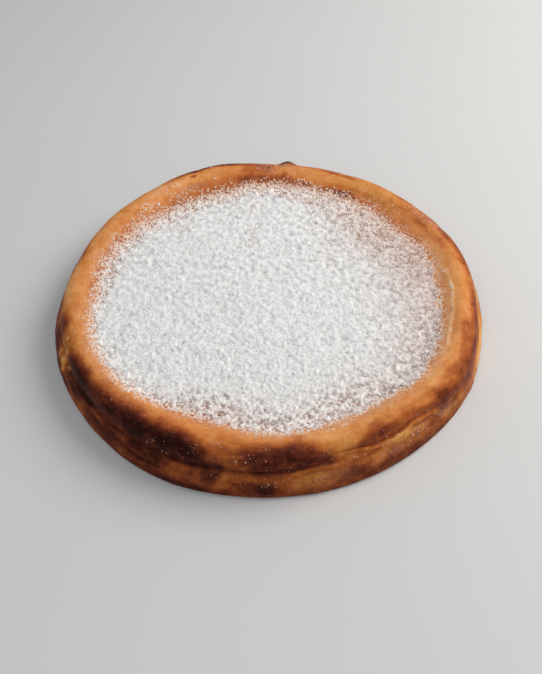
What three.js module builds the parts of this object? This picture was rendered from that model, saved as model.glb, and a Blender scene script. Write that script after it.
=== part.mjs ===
// A whole baked ricotta cake, uncut: a round of soft cake with a puffed rim, a fold in its side
// under the rim, a sunken top, and a dusting of icing sugar that lies in the hollow.
// Millimetres, +Z up. The origin is the middle of the flat base. Azimuths are in degrees and run
// anticlockwise from +X, so 270 is the front, where the fold is deepest.

import * as THREE from "three";

// Driving dimensions of the cake
const tinRadius = 130.5; // the base keeps the width of the tin
const crestHeight = 28; // mean height of the rim's crest
const crestInset = 15.5; // from the base's edge in to the crest
const rollRadius = 9.5; // round section of the puffed rim
const foldTurn = 22; // how far under the roll the side folds in, in degrees below level
const footRadius = 2.2; // rounding of the bottom edge
const bellyInset = 2.2; // the lower wall swells out to this far inside the base's edge
const bellyRise = 0.75; // and does so at this share of the fold's height
const hollowRadius = 98; // the sunken top is nearly level out to here
const hollowHeight = 22.3; // its height there
const hollowDome = 0.5; // its middle stands this much higher

// Driving dimensions of the icing sugar
const sugarRadius = 103; // mean radius of the dusted disc
const sugarMiddle = 0.7; // thickness in the middle
const sugarEdge = 0.3; // thickness at the edge
const sugarGap = 0.3; // clearance under the dusting

// Unevenness round the cake: each term is a count of waves, their height in mm and one crest's azimuth
const edgeWaves = [[5, 0.45, 33], [8, 0.4, 15]];
const crestWaves = [[1, 1.2, 345], [3, 0.6, 75], [7, 0.4, 10]];
const heightWaves = [[2, 1.6, 130], [3, 0.9, 120], [7, 0.25, 30]];
const sugarWaves = [[1, 4.2, 243], [2, 1.3, 157], [3, 2.5, 80], [5, 1, 65]];

// Swells in one place: each is an azimuth, a reach either way in degrees and a height in mm, which is
// negative for a dip
const baseSwells = [[4, 30, 2.2], [176, 20, 1.4]]; // the base spreads out further
const crestSwells = [[24, 22, -1.2], [66, 22, -1.4], [89, 16, -2], [163, 14, -1.2]]; // the rim is lower
const rollSwells = [[281, 11, -1.2], [302, 22, -4.2], [327, 14, 0.9]]; // a thin roll lifts the fold
const sugarSwells = [[94, 16, 2], [150, 26, 2], [198, 24, -2.5], [272, 20, 4], [317, 13, 2.5]];

// A blister stands on the rim's outer shoulder at the back, placed by azimuth and by turn of the roll
const blister = { azimuth: 81.6, reach: 4, turn: 62, turnReach: 32, height: 2.6 };

// Steps of the mesh
const azimuthSteps = 128;
const footSteps = 2;
const wallSteps = 5;
const rollSteps = 11;
const slopeSteps = 5;
const hollowSteps = 5;
const hollowCrowding = 1.6; // crowds the hollow's rings towards the sugar's edge

const { degToRad, euclideanModulo, lerp } = THREE.MathUtils;

// Sum of waves at an azimuth.
function waves(azimuth, terms) {
  return terms.reduce(
    (sum, [count, height, crest]) => sum + height * Math.cos(count * degToRad(azimuth - crest)),
    0,
  );
}

// Smooth bump over an angle in degrees, from 1 at its middle down to 0 at its reach.
function swell(angle, middle, reach) {
  const away = Math.abs(euclideanModulo(angle - middle + 180, 360) - 180);
  return away < reach ? 0.5 + 0.5 * Math.cos((Math.PI * away) / reach) : 0;
}

// Sum of swells at an azimuth.
function swells(azimuth, terms) {
  return terms.reduce((sum, [middle, reach, height]) => sum + height * swell(azimuth, middle, reach), 0);
}

// Height of the sunken top and of the slope that rises from it to the crest.
function topHeight(radius, crest) {
  const inner = Math.min(radius / hollowRadius, 1);
  const rise = Math.max((radius - hollowRadius) / (crest.x - hollowRadius), 0);
  const dome = hollowDome * (1 - inner ** 2);
  return hollowHeight + dome + (crest.y - hollowHeight) * (0.5 - 0.5 * Math.cos(Math.PI * rise));
}

// The rim's round section from the fold up to the crest, with the blister raised on it.
function rollPoints(azimuth, crest) {
  const plainReach = rollRadius + swells(azimuth, rollSwells);
  const centre = new THREE.Vector2(crest.x, crest.y - plainReach);
  const blisterHere = blister.height * swell(azimuth, blister.azimuth, blister.reach);
  return Array.from({ length: rollSteps + 1 }, (_, i) => {
    const turn = lerp(-foldTurn, 90, i / rollSteps);
    const reach = plainReach + blisterHere * swell(turn, blister.turn, blister.turnReach);
    const out = new THREE.Vector2(Math.cos(degToRad(turn)), Math.sin(degToRad(turn)));
    return centre.clone().addScaledVector(out, reach);
  });
}

// Half section of the cake at an azimuth, as (radius, height) points from the base's edge to the axis.
// The last hollowSteps + 1 of them lie under the sugar.
function cakeSection(azimuth) {
  const edge = tinRadius + waves(azimuth, edgeWaves);
  const crest = new THREE.Vector2(
    edge - crestInset + waves(azimuth, crestWaves),
    crestHeight + waves(azimuth, heightWaves) + swells(azimuth, crestSwells),
  );
  const roll = rollPoints(azimuth, crest);
  const fold = roll[0];
  const base = edge + swells(azimuth, baseSwells);
  const footTop = new THREE.Vector2(base, footRadius);
  const foot = new THREE.QuadraticBezierCurve(
    new THREE.Vector2(base - footRadius, 0),
    new THREE.Vector2(base, 0),
    footTop,
  );
  const wall = new THREE.QuadraticBezierCurve(
    footTop,
    new THREE.Vector2(base - bellyInset, bellyRise * fold.y),
    fold,
  );

  const sugarOut = sugarRadius + waves(azimuth, sugarWaves) + swells(azimuth, sugarSwells);
  const onTop = (radius) => new THREE.Vector2(radius, topHeight(radius, crest));
  const slope = Array.from({ length: slopeSteps }, (_, i) =>
    onTop(lerp(crest.x, sugarOut, (i + 1) / slopeSteps)),
  );
  const hollow = Array.from({ length: hollowSteps }, (_, i) =>
    onTop(sugarOut * (1 - ((i + 1) / hollowSteps) ** hollowCrowding)),
  );
  return [
    ...foot.getPoints(footSteps),
    ...wall.getPoints(wallSteps).slice(1),
    ...roll.slice(1),
    ...slope,
    ...hollow,
  ];
}

// Section of the dusting over a section of the cake: along its underside out to its edge, then back
// over its top to the axis.
function sugarSection(section) {
  const under = section.slice(-hollowSteps - 1);
  const sugarOut = under[0].x;
  const raised = (point, height) => new THREE.Vector2(point.x, point.y + height);
  const thickness = (point) => lerp(sugarMiddle, sugarEdge, (point.x / sugarOut) ** 2);
  const below = under.slice(0, -1).reverse();
  return [
    ...below.map((point) => raised(point, sugarGap)),
    ...under.map((point) => raised(point, sugarGap + thickness(point))),
  ];
}

// Closed body through one half section per azimuth. The sections end on the axis above, and a fan to
// a point on the axis closes their starts below.
function bodyThrough(sections, startHeight) {
  const rings = sections[0].length - 1;
  const positions = [0, 0, startHeight, 0, 0, sections[0][rings].y];
  sections.forEach((section, column) => {
    const azimuth = (2 * Math.PI * column) / sections.length;
    section.slice(0, rings).forEach((point) => {
      positions.push(point.x * Math.cos(azimuth), point.x * Math.sin(azimuth), point.y);
    });
  });

  const vertex = (column, ring) => 2 + (column % sections.length) * rings + ring;
  const faces = [];
  for (let column = 0; column < sections.length; column++) {
    faces.push(0, vertex(column + 1, 0), vertex(column, 0));
    for (let ring = 0; ring < rings - 1; ring++) {
      const here = vertex(column, ring);
      const beside = vertex(column + 1, ring);
      const above = vertex(column, ring + 1);
      const across = vertex(column + 1, ring + 1);
      faces.push(here, beside, across, here, across, above);
    }
    faces.push(vertex(column, rings - 1), vertex(column + 1, rings - 1), 1);
  }

  const geometry = new THREE.BufferGeometry();
  geometry.setAttribute("position", new THREE.Float32BufferAttribute(positions, 3));
  geometry.setIndex(faces);
  geometry.computeVertexNormals();
  return geometry;
}

const cakeSections = Array.from({ length: azimuthSteps }, (_, i) => cakeSection((360 * i) / azimuthSteps));
const sugarSections = cakeSections.map(sugarSection);
const sugarUnderside = hollowHeight + hollowDome + sugarGap;

const crustFinish = new THREE.MeshStandardMaterial({ color: 0xcb8b58, roughness: 0.55, metalness: 0 });
const cake = new THREE.Mesh(bodyThrough(cakeSections, 0), crustFinish);
cake.name = "cake";

const sugarFinish = new THREE.MeshStandardMaterial({ color: 0xf2f1ee, roughness: 0.95, metalness: 0 });
const icingSugar = new THREE.Mesh(bodyThrough(sugarSections, sugarUnderside), sugarFinish);
icingSugar.name = "icing_sugar";

const ricottaCake = new THREE.Group();
ricottaCake.add(cake, icingSugar);

export default ricottaCake;
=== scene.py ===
# A whole baked ricotta cake: a browned crust with a puffed rim and a fold in its side,
# and icing sugar in the hollow.
import itertools
import math

import bmesh
import bpy
import numpy as np
from mathutils import Matrix, Vector


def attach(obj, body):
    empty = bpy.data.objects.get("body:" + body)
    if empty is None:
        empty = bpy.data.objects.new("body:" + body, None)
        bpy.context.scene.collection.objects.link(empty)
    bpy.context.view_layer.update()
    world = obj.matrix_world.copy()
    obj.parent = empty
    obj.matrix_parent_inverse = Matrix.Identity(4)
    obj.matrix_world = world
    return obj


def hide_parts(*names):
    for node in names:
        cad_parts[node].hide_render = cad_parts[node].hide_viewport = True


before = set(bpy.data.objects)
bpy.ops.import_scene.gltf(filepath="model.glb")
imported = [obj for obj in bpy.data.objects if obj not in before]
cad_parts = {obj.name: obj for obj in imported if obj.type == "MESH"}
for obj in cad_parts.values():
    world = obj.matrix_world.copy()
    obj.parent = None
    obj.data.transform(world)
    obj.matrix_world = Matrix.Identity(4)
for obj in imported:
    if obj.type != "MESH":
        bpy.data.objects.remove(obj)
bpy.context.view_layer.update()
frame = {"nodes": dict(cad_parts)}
mm = 0.001  # arrays are in millimetres and degrees, meshes in metres
print("frame loaded:", ", ".join(frame["nodes"]))

# the solid's own sizes; waves are (count, height, azimuth of a crest), swells (azimuth, reach, height)
cakeForm = {
    "tinRadius": 130.5,
    "footRadius": 2.2,
    "bellyInset": 2.2,
    "bellyRise": 0.75,
    "crestInset": 15.5,
    "crestHeight": 28,
    "rollRadius": 9.5,
    "foldTurn": 22,
    "hollowRadius": 98,
    "hollowHeight": 22.3,
    "hollowDome": 0.5,
    "sugarRadius": 103,
    "edgeWaves": [(5, 0.45, 33), (8, 0.4, 15)],
    "crestWaves": [(1, 1.2, 345), (3, 0.6, 75), (7, 0.4, 10)],
    "heightWaves": [(2, 1.6, 130), (3, 0.9, 120), (7, 0.25, 30)],
    "sugarWaves": [(1, 4.2, 243), (2, 1.3, 157), (3, 2.5, 80), (5, 1, 65)],
    "baseSwells": [(4, 30, 2.2), (176, 20, 1.4)],
    "crestSwells": [(24, 22, -1.2), (66, 22, -1.4), (89, 16, -2), (163, 14, -1.2)],
    "rollSwells": [(281, 11, -1.2), (302, 22, -4.2), (327, 14, 0.9)],
    "sugarSwells": [(94, 16, 2), (150, 26, 2), (198, 24, -2.5), (272, 20, 4), (317, 13, 2.5)],
    "blister": {"azimuth": 81.6, "reach": 4, "turn": 62, "turnReach": 32, "height": 2.6},
}


def waves(azimuth, terms):
    return sum(height * np.cos(count * np.radians(azimuth - crest)) for count, height, crest in terms)


def turnBetween(azimuth, middle):
    return (azimuth - middle + 180) % 360 - 180


def swell(angle, middle, reach):
    away = np.abs(turnBetween(angle, middle))
    return np.where(away < reach, 0.5 + 0.5 * np.cos(np.pi * away / reach), 0)


def swells(azimuth, terms):
    return sum(height * swell(azimuth, middle, reach) for middle, reach, height in terms)


def smooth(low, high, value):
    share = np.clip((value - low) / (high - low), 0, 1)
    return share * share * (3 - 2 * share)


def bend(start, control, end, share):
    return (1 - share) ** 2 * start + 2 * share * (1 - share) * control + share ** 2 * end


# even random field over points, about -1 to 1, with lumps of the given size
def lumpNoise(points, size, seed):
    rng = np.random.default_rng(seed)
    order = rng.permutation(256)
    slopes = rng.normal(size=(256, 3))
    slopes /= np.linalg.norm(slopes, axis=1, keepdims=True)
    where = points / np.array(size)
    cell = np.floor(where).astype(int)
    inside = where - cell
    fade = inside ** 3 * (inside * (inside * 6 - 15) + 10)
    total = np.zeros(points.shape[:-1])
    for corner in itertools.product((0, 1), repeat=3):
        key = np.zeros(points.shape[:-1], dtype=int)
        for axis in range(3):
            key = order[(key + cell[..., axis] + corner[axis]) & 255]
        share = np.prod(np.where(corner, fade, 1 - fade), axis=-1)
        total += share * np.sum(slopes[key] * (inside - corner), axis=-1)
    return 1.6 * total  # the plain sum stays within about 0.6 of nought


# sum of such fields, each a height, a size and a seed
def addUp(fields, points):
    return sum(height * lumpNoise(points, size, seed) for height, size, seed in fields)


# edge radius of the base, then radius and height of the rim's crest
def rimLines(azimuth):
    form = cakeForm
    edge = form["tinRadius"] + waves(azimuth, form["edgeWaves"])
    crestRadius = edge - form["crestInset"] + waves(azimuth, form["crestWaves"])
    crestHeight = form["crestHeight"] + waves(azimuth, form["heightWaves"])
    crestHeight = crestHeight + swells(azimuth, form["crestSwells"])
    return edge, crestRadius, crestHeight


# the plain top: a nearly level hollow and the slope from it up to the crest
def topHeight(radius, azimuth):
    form = cakeForm
    crestRadius, crestHeight = rimLines(azimuth)[1:]
    dome = form["hollowDome"] * (1 - np.minimum(radius / form["hollowRadius"], 1) ** 2)
    climb = np.maximum((radius - form["hollowRadius"]) / (crestRadius - form["hollowRadius"]), 0)
    lift = (crestHeight - form["hollowHeight"]) * (0.5 - 0.5 * np.cos(np.pi * climb))
    return form["hollowHeight"] + dome + lift


def ringPoints(radius, azimuth, height):
    turn = np.radians(azimuth)
    return np.stack([radius * np.cos(turn), radius * np.sin(turn), height + 0 * radius * turn], axis=-1)


# crust: rings of points round the cake, from the base's edge up the wall, over the roll and into the hollow
crust = {
    "azimuths": 900,
    "footSteps": 3,
    "wallSteps": 27,
    "rollSteps": 40,
    "slopeSteps": 31,
    "slopeEnd": 84,  # rings lie close together from the crest in to this radius
    "hollowSteps": 6,
    "lumps": [(0.42, 19, 11), (0.17, 7, 12)],
    "wrinkles": [(0.34, (11, 11, 2.3), 13), (0.16, (4, 4, 1.3), 14)],  # on the lower wall
    "wrinklesEnd": (-3.5, 0.5),  # mm above the fold over which they fade
    "rollSkin": [(0.12, (7, 7, 2.6), 15), (0.05, (2.4, 2.4, 1.6), 16)],
    "rollSkinStart": (-1, 3),
    "rollSkinEnd": (-5, 1),  # mm past the crest
    "flatBase": (0, 3),  # heights over which the relief sets in, so that the base stays flat
    "middles": {"toast": (0.5, 0.5), "gold": (1, 0), "dust": (0, 0.6)},  # of the base and of the hollow
}

# creases in the side, along which the crust is also painted darker as shade: azimuths, rises above the fold
# along the skin, depth, width
sideCreases = [
    ((186, 210, 245, 268, 280, 288), (-1.2, -1.8, -0.8, 0.2, -0.6, -1.4), 0.6, 1.0),
    ((283, 288, 291, 294, 297, 300, 303, 306, 310),
     (6.2, 5.2, 3.0, -1.2, -3.0, -3.7, -3.0, -0.8, 0), 0.6, 0.8),
    ((314, 319, 326, 334, 350, 372), (-1.6, -3.2, -1.8, 0, 0.6, 0), 0.4, 0.9),
    ((368, 395, 420, 450, 480, 510, 548), (0, 0.8, -0.6, 0.4, -0.8, 0.5, -1.2), 0.8, 0.8),
    ((277, 282, 287), (-7.6, -9.2, -9.6), 0.4, 0.7),
    ((286, 293, 300), (-4.2, -5.6, -5.0), 0.4, 0.9),
    ((256, 262, 268), (-6.4, -7.2, -6.2), 0.3, 0.8),
    ((222, 228, 236, 246), (-4.0, -6.6, -8.2, -9.0), 0.45, 0.8),
    ((214, 221, 230), (-3.0, -5.8, -9.2), 0.4, 0.8),
    ((330, 338, 346), (24.5, 23.4, 23.0), 0.35, 0.9),
    ((28, 38, 50), (-6.0, -7.4, -6.4), 0.35, 0.8),
    ((68, 80, 94), (-4.6, -6.8, -7.8), 0.35, 0.8),
    ((116, 128, 140), (-8.2, -6.6, -7.4), 0.4, 0.8),
    ((148, 158, 170), (-5.2, -7.2, -6.4), 0.35, 0.8),
]

# pale ridges of puckered skin, in the same way, with a height, their paleness partly a painted highlight on
# their lit tops; one runs along the inner slope at the right
slopeRidge = (329, 335, 340, 345, 348, 354, 358, 364), (25.4, 26.1, 25.6, 24.0, 25.3, 24.1, 25.4, 26.2)
sideRidges = [
    ((205, 209, 214), (0.5, -2.5, -5.5), 0.3, 0.6),
    ((211, 215, 220), (-0.5, -2.6, -6.0), 0.3, 0.5),
    ((217, 223, 231), (-2.2, -4.2, -7.5), 0.32, 0.6),
    ((225, 231, 240), (-2.6, -4.4, -7.6), 0.32, 0.6),
    ((288, 291, 294, 297, 300, 303, 306, 311, 316),
     (3.0, 0.8, -3.2, -4.8, -5.6, -5.0, -2.8, -2.2, -3.4), 0.45, 0.9),
    ((273, 280, 287), (-1.8, -2.2, -3.0), 0.3, 0.8),
    (*slopeRidge, 0.42, 0.65),
]

# where the fold is nearly closed, in the same way
sideFills = [
    ((290, 295, 300, 305, 310), (0.6, 0.2, 0, 0.2, 0.2), 1.1, 2.4),
    ((304, 312, 320, 326), (0.2, 0.2, 0, 0), 0.5, 2.2),
    ((180, 200, 230, 262, 284), (-0.6, -0.8, -0.6, -0.2, -0.4), 0.3, 2.0),
    ((20, 40, 62), (0, 0.4, 0), 0.7, 2.2),
    ((98, 118, 138), (0, 0.3, -0.2), 0.75, 2.4),
    ((150, 163, 178), (0, -0.3, -0.6), 0.5, 2.0),
]
lineFade = 3.5  # degrees over which a line fades at its ends
lineLead = 60  # degrees before a line's start that count as just ahead of it


def cakeSections(azimuth):
    form = cakeForm
    azimuth = azimuth[:, None]
    edge, crestRadius, crestHeight = rimLines(azimuth)
    foot = form["footRadius"] + 0 * edge

    # roll: a round section from the fold up to the crest, with the blister raised on it
    rollReach = form["rollRadius"] + swells(azimuth, form["rollSwells"])
    turn = np.linspace(-form["foldTurn"], 90, crust["rollSteps"] + 1)
    blister = form["blister"]
    raised = blister["height"] * swell(azimuth, blister["azimuth"], blister["reach"])
    reach = rollReach + raised * swell(turn, blister["turn"], blister["turnReach"])
    rollRadius = crestRadius + reach * np.cos(np.radians(turn))
    rollHeight = crestHeight - rollReach + reach * np.sin(np.radians(turn))

    # foot and wall below it
    footShare = np.linspace(0, 1, crust["footSteps"] + 1)
    base = edge + swells(azimuth, form["baseSwells"])
    footRadius = bend(base - foot, base, base, footShare)
    footHeight = bend(0 * base, 0 * base, foot, footShare)
    foldRadius, foldHeight = rollRadius[:, :1], rollHeight[:, :1]
    wallShare = np.linspace(0, 1, crust["wallSteps"] + 1)[1:]
    wallRadius = bend(base, base - form["bellyInset"], foldRadius, wallShare)
    wallHeight = bend(foot, form["bellyRise"] * foldHeight, foldHeight, wallShare)

    # slope and hollow inside the crest
    slopeShare = np.linspace(0, 1, crust["slopeSteps"] + 1)[1:]
    slopeRadius = crestRadius + (crust["slopeEnd"] - crestRadius) * slopeShare
    hollowShare = np.linspace(1, 0, crust["hollowSteps"] + 1)[1:-1]
    innerRadius = np.concatenate([slopeRadius, crust["slopeEnd"] * hollowShare + 0 * edge], axis=1)
    innerHeight = topHeight(innerRadius, azimuth)

    radius = np.concatenate([footRadius, wallRadius, rollRadius[:, 1:], innerRadius], axis=1)
    height = np.concatenate([footHeight, wallHeight, rollHeight[:, 1:], innerHeight], axis=1)
    return radius, height


# lines drawn along the side, each fading at its ends
def sideLines(lines, azimuth, rise):
    total = np.zeros(np.broadcast(azimuth, rise).shape)
    for places, rises, strength, width in lines:
        first, last = places[0], places[-1]
        along = (azimuth - first + lineLead) % 360 - lineLead + first
        line = np.interp(along, places, rises)
        ends = smooth(first, first + lineFade, along) * (1 - smooth(last - lineFade, last, along))
        total = np.maximum(total, strength * ends * np.exp(-((rise - line) / width) ** 2))
    return total


# skin of the cake as arrays: points, outward directions, and each point's azimuth and rise above the fold
def crustSkin():
    azimuth = np.arange(crust["azimuths"]) * 360 / crust["azimuths"]
    radius, height = cakeSections(azimuth)
    foldRing = crust["footSteps"] + crust["wallSteps"]
    crestRing = foldRing + crust["rollSteps"]
    steps = np.hypot(np.diff(radius, axis=1), np.diff(height, axis=1))
    run = np.concatenate([np.zeros((len(azimuth), 1)), np.cumsum(steps, axis=1)], axis=1)
    rise = run - run[:, foldRing:foldRing + 1]
    crestRise = rise[:, crestRing:crestRing + 1]

    azimuth = azimuth[:, None]
    base = ringPoints(radius, azimuth, height)
    along = np.roll(base, -1, axis=0) - np.roll(base, 1, axis=0)
    up = np.gradient(base, axis=1)
    out = np.cross(along, up)
    out /= np.linalg.norm(out, axis=-1, keepdims=True)
    out[:, crestRing:] = (0, 0, 1)

    # lumps all over, wrinkles and creases on the side only
    lowWall = 1 - smooth(*crust["wrinklesEnd"], rise)
    endLow, endHigh = crust["rollSkinEnd"]
    rollEnd = smooth(crestRise + endLow, crestRise + endHigh, rise)
    onRoll = smooth(*crust["rollSkinStart"], rise) * (1 - rollEnd)
    relief = addUp(crust["lumps"], base)
    relief = relief + lowWall * addUp(crust["wrinkles"], base) + onRoll * addUp(crust["rollSkin"], base)
    creases = sideLines(sideCreases, azimuth, rise)
    ridges = sideLines(sideRidges, azimuth, rise)
    relief = relief - creases + ridges + sideLines(sideFills, azimuth, rise)
    relief = relief * smooth(*crust["flatBase"], height)
    return {
        "points": base + out * relief[..., None],
        "out": out,
        "azimuth": azimuth + 0 * rise,
        "rise": rise,
        "fromCrest": rise - crestRise,
        "radius": radius,
        "height": height,
        "creases": creases,
        "ridges": ridges,
    }


# the crust's height under a place in the hollow or on the slope
def topSurface(radius, azimuth):
    base = ringPoints(radius, azimuth, topHeight(radius, azimuth))
    return base[..., 2] + addUp(crust["lumps"], base)


# toasted and pale patches: azimuth, rise above the fold, half width in degrees, half height in mm, level;
# a later one covers those before it
toastPatches = [
    # roll, from the left round the front to the right
    (236, 17.5, 22, 6.5, 0.48), (192, 10.5, 4.2, 6.5, 0.74), (211, 8, 9, 9, 0.95), (222, 8.4, 7, 8.4, 0.87),
    (234, 8.7, 11, 10.4, 0.98), (246, 8.6, 9.5, 10, 1.0), (247, 1.5, 13, 4, 0.88), (217, 2, 10, 4, 0.94),
    (200.5, 7.5, 4.2, 7, 0.52), (259, 12, 5, 6.5, 0.57), (262, 18, 8, 4, 0.42), (255, 3.5, 5, 4.5, 0.88),
    (260.5, 2.5, 3, 4, 0.62), (267, 9.5, 6.5, 9, 0.8), (275, 9.5, 8.5, 10, 0.83), (272, 2, 12, 4, 0.86),
    (281.5, 4, 4, 6, 0.74), (288, 12, 6, 10, 0.31), (287.5, 2, 3.5, 5, 0.44), (296, 3.6, 5.4, 6, 0.7),
    (301, 8.5, 4, 5, 0.4), (306, 14, 10, 5, 0.28), (319, 17.5, 8, 5.5, 0.28), (286, 17, 9, 5, 0.24),
    (307.5, 3, 6, 4.5, 0.56), (317, 5.5, 8, 8, 0.68), (323, 14, 5, 5, 0.54), (333, 7.5, 11, 8.5, 0.74),
    (335, 15, 8, 4, 0.55), (348, 8.5, 10, 5.5, 0.66), (8, 12, 8, 4, 0.62), (20, 15, 9, 2.2, 0.6),
    # inner slope at the right
    (18, 22, 12, 4, 0.38), (30, 21, 16, 6, 0.47), (30, 14, 12, 3.5, 0.5), (354, 19, 14, 5, 0.25),
    (330, 22.5, 9, 4, 0.24), (347, 25, 16, 5, 0.23), (6, 27, 12, 5, 0.26), (352, 33, 24, 4.5, 0.3),
    # lower wall, from the left round the front to the right
    (191, -6, 5, 8, 0.78), (200, -11, 9, 4, 0.82), (199, -3.5, 5, 6.5, 0.44), (209, -4.5, 7, 5.5, 0.88),
    (215, -2, 6, 2.6, 0.9), (219, -7.5, 4.5, 5, 0.82), (226, -6.5, 7, 8, 0.82), (227, -6, 2, 1.4, 0.88),
    (238, -6, 9, 8, 0.86), (248.5, -6, 5, 5, 0.64), (255.3, -4.5, 2.8, 5.5, 0.86), (260.5, -5, 3.6, 5, 0.52),
    # the patch at azimuth 247 and rise -14 is painted shade along the foot at the front
    (267, -10, 6.5, 5.5, 0.88), (268, -2.5, 7, 2.6, 0.63), (247, -14, 16, 3.5, 0.84), (279, -7, 8, 6.5, 0.46),
    (280.5, -2.4, 4, 2.4, 0.62), (289, -11, 4, 5, 0.7), (292.5, -4, 4, 3, 0.58), (295.5, -10, 3, 4, 0.44),
    (303, -5.5, 6.5, 4, 0.34), (305.5, -11.5, 4, 4, 0.52), (305, -3, 8, 2.4, 0.58), (312.5, -8, 3.2, 5, 0.64),
    # the paler patches low on the right, at 330 and 345, are partly painted light bounced up from the floor
    (318, -7, 4, 5, 0.46), (329, -4, 6, 6, 0.66), (330, -10, 6, 4, 0.54), (345, -7, 10, 7, 0.36),
    (345, -2, 12, 3, 0.64), (315, -3.2, 8, 2.8, 0.67), (0, -4, 10, 6, 0.3),
    # rim and slope at the back
    (81.6, 13, 3.4, 7, 0.84), (91, 29.5, 15, 5.5, 0.62), (117, 29, 9, 5, 0.5), (52, 29, 22, 4.5, 0.43),
    (60, 34, 9, 3.5, 0.72), (75, 33, 7, 3.2, 0.62), (144, 27, 10, 4, 0.4), (52, 19.5, 20, 6, 0.3),
    (90, 18.5, 7, 7, 0.58), (63, 17.5, 9, 1.8, 0.5), (134, 18, 12, 5, 0.24), (115, 22, 10, 4, 0.25),
    (111, 12.8, 14, 5.6, 0.88), (101, 15.5, 7, 3.5, 0.7), (94, 23.5, 6, 3.5, 0.5), (130, 7.5, 11, 6, 0.86),
    (140, 14, 17, 4, 0.27), (150, 7, 9, 6, 0.58), (167, 7.5, 10, 6, 0.72), (154, 15, 9, 5, 0.26),
    (178, 14, 12, 6, 0.2), (22, 7, 14, 6, 0.84), (44, 6.5, 10, 6, 0.72), (66, 8, 11, 7, 0.8),
    (92, 7, 10, 6.5, 0.86),
    # lower wall at the back
    (12, -7, 9, 5, 0.6), (36, -9, 8, 5, 0.52), (58, -5, 10, 5, 0.74), (88, -9, 10, 5, 0.62),
    (112, -5, 8, 5, 0.8), (139, -8, 11, 5.5, 0.64), (162, -6, 8, 5, 0.76), (181, -8, 7, 5, 0.66),
    # slope at the left, then single spots; the pale one at 343 low on the right is partly painted light
    # bounced up from the floor
    (164, 30, 26, 5, 0.5), (115.6, 20.6, 1.9, 1.3, 0.72), (343, -12, 11, 5, 0.17), (296.5, 14, 5, 3, 0.28),
    (310, 8, 3.5, 3.5, 0.36), (197, 0.5, 1.1, 2.6, 0.12), (199.6, -4, 1.4, 3.4, 0.14),
    (201.2, -7, 1.0, 3.2, 0.24), (198.4, 12.6, 0.9, 1.6, 0.08), (201.8, 8, 0.8, 3.4, 0.22),
    (196, -5.5, 0.8, 3.6, 0.28), (203.6, -1.5, 0.8, 2.6, 0.28),
]

toastLevels = {
    # the crust darkens towards the foot, partly browning and partly painted shade where it meets the floor
    "riseStops": (-17, -8, 0, 5, 10, 15, 19, 26, 33, 40),
    "levels": (0.7, 0.52, 0.56, 0.53, 0.48, 0.41, 0.32, 0.31, 0.48, 0.62),
    "patchFade": (0.2, 1.3),  # shares of a patch's half size between which it fades
    "patchDrift": [(1.6, 9, 21), (0.8, 3.5, 22)],  # degrees and mm, so that patches are ragged
    "narrowDrift": [(0.9, 1.8, 40)],  # for narrow ones
    "wideFrom": 8,  # half width of a patch that isn't narrow
    "riseDrift": 0.6,  # share of the drift that goes up and down
    "mottle": [(0.07, 8, 23), (0.05, 3.2, 24), (0.04, 1.7, 25)],
    "darkFrom": (0.6, 0.95),  # dark crust is flat in colour, so it takes more mottle
    "darkMottle": 1.3,
    "wallTop": (-3, 2),
    "wallMottle": [(0.03, (7, 7, 4), 26), (0.025, (3.4, 3.4, 2.2), 27), (0.05, (1.7, 1.7, 1.2), 28)],
    "wallLoss": 0.7,  # share of the dark mottle left out there
    "streaks": [(0.05, (9, 9, 0.9), 37), (0.035, (4, 4, 0.6), 38)],  # fine lines that run round the rim
    "streaksStart": (-2, 3),
    "streaksEnd": (20, 30),
    # painted shade: the crust is darkened along the creases
    "creaseShade": 0.18,
    # paler along the ridges, partly pale skin and partly a painted highlight
    "ridgeLevel": -0.35,
}


def toastOf(skin):
    base, azimuth, rise = skin["points"], skin["azimuth"], skin["rise"]
    levels = toastLevels
    toast = np.interp(rise, levels["riseStops"], levels["levels"])
    drift = addUp(levels["patchDrift"], base)
    narrowDrift = addUp(levels["narrowDrift"], base)
    for middle, patchRise, width, tall, level in toastPatches:
        wide = min(width / levels["wideFrom"], 1)
        shift = wide * drift + (1 - wide) * narrowDrift
        across = (turnBetween(azimuth, middle) + shift) / width
        away = np.hypot(across, (rise - patchRise + levels["riseDrift"] * shift) / tall)
        toast = toast + (level - toast) * (1 - smooth(*levels["patchFade"], away))
    lowWall = 1 - smooth(*levels["wallTop"], rise)
    onRim = smooth(*levels["streaksStart"], rise) * (1 - smooth(*levels["streaksEnd"], rise))
    toast = toast + onRim * addUp(levels["streaks"], np.stack([base[..., 0], base[..., 1], rise], axis=-1))
    dark = smooth(*levels["darkFrom"], toast) * (1 - levels["wallLoss"] * lowWall)
    strong = 1 + levels["darkMottle"] * dark
    toast = toast + strong * addUp(levels["mottle"], base) + lowWall * addUp(levels["wallMottle"], base)
    # painted shade in the creases, and paler ridges
    toast = toast + levels["creaseShade"] * skin["creases"] + levels["ridgeLevel"] * skin["ridges"]
    return np.clip(toast, 0, 1)


# distance from a patch's middle, as a share of its half size
def patchAway(skin, middle, patchRise, width, tall):
    return np.hypot(turnBetween(skin["azimuth"], middle) / width, (skin["rise"] - patchRise) / tall)


# where the crust is more yellow than orange
goldLevels = {
    # azimuth, rise, half width, half height, share
    "patches": [
        (200, 2, 5, 14, 0.5), (304, -7, 8, 7, 0.6), (318, -6, 9, 6, 0.65), (279, -7, 8, 6, 0.5),
        # the wide one at 346 low on the right is partly painted light on the lit lower wall
        (346, -7, 22, 8, 0.55), (287, 9, 7, 8, 0.35), (50, 23, 22, 9, 0.35),
    ],
    "patchFade": (0.2, 1.3),
    "drift": [(0.25, 13, 29), (0.15, 5, 30)],
    "slopeStart": (16, 24),  # rises over which the drift weakens towards the hollow
    "slopeLoss": 0.6,
    "wallTop": (-3, 1),
    "wallShare": 0.15,
}


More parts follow.
